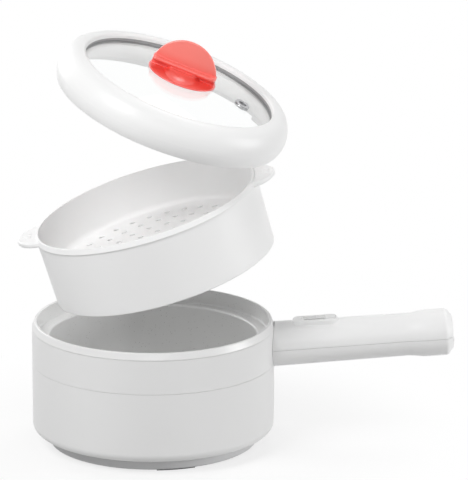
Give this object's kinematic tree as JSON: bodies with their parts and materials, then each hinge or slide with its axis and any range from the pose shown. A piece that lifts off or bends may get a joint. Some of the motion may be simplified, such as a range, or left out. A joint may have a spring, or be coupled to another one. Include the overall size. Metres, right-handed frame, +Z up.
{
  "type": "multicooker",
  "caption": "White electric multicooker with a long handle, a lift-off steamer bowl and a ringed glass lid with a coral red knob, shown apart above the pot",
  "frame": {"origin": "centre of the pot's footprint, on the surface that it stands on", "axes": "+X along the handle, +Y to the back of the pictured view, +Z up"},
  "size_m": [0.3686, 0.2149, 0.3528],
  "materials": {
    "white_casing": "satin white casing plastic, fine moulded surface",
    "white_bowl": "satin white bowl plastic",
    "white_lid_ring": "smooth white lid ring",
    "pot_coating": "pale cooking coating on aluminium",
    "grey_base": "mid grey base plastic",
    "coral_knob": "coral red satin plastic",
    "clear_glass": "clear tempered glass",
    "grey_silicone": "grey silicone",
    "black_rubber": "dark rubber",
    "bright_steel": "plain steel",
    "polished_steel": "polished stainless steel",
    "bare_aluminium": "bare aluminium",
    "pin_brass": "plated brass",
    "dark_plastic": "dark insulating plastic",
    "board_green": "green circuit board",
    "wire_sleeve": "pale silicone wire sleeve"
  },
  "bodies": {
    "pot_and_handle": {"inner_pot": "pot_coating", "pot_seal": "grey_silicone", "upper_shell": "white_casing", "lower_shell": "white_casing", "base_plate": "grey_base", "rubber_feet": "black_rubber", "base_screws": "bright_steel", "heat_spreader": "bare_aluminium", "heating_element": "bright_steel", "thermostat": "dark_plastic", "thermal_fuse": "bare_aluminium", "fuse_clip": "bright_steel", "heat_shield": "bright_steel", "handle_bracket": "bright_steel", "bracket_rivets": "bare_aluminium", "handle_upper_half": "white_casing", "handle_lower_half": "white_casing", "handle_screws": "bright_steel", "tongue_screws": "bright_steel", "power_inlet": "dark_plastic", "inlet_pins": "pin_brass", "switch_body": "dark_plastic", "control_board": "board_green", "inlet_leads": "wire_sleeve", "heater_leads": "wire_sleeve"},
    "slider": {"heat_slider": "white_casing"},
    "steamer": {"steamer_bowl": "white_bowl"},
    "lid": {"lid_cover_ring": "white_lid_ring", "lid_inner_ring": "white_lid_ring", "glass_gasket": "grey_silicone", "lid_glass": "clear_glass", "vent_eyelet": "polished_steel", "lid_knob": "coral_knob", "knob_washer": "polished_steel", "knob_screw": "polished_steel"}
  },
  "joints": [
    {"name": "steamer_lift", "type": "hinge", "parent": "pot_and_handle", "child": "steamer", "pos_m": [-0.19206, 0, 0.16049], "axis": [0.1679, -0.9855, -0.0239], "range_deg": [-16.45, 0]},
    {"name": "lid_lift", "type": "hinge", "parent": "steamer", "child": "lid", "pos_m": [0.12793, -0.00287, 0.21958], "axis": [0.1003, 0.9917, 0.0808], "range_deg": [-36.15, 0]},
    {"name": "heat_slide", "type": "slide", "parent": "pot_and_handle", "child": "slider", "axis": [0.9973, 0, 0.0741], "range_m": [-0.02, 0]}
  ]
}
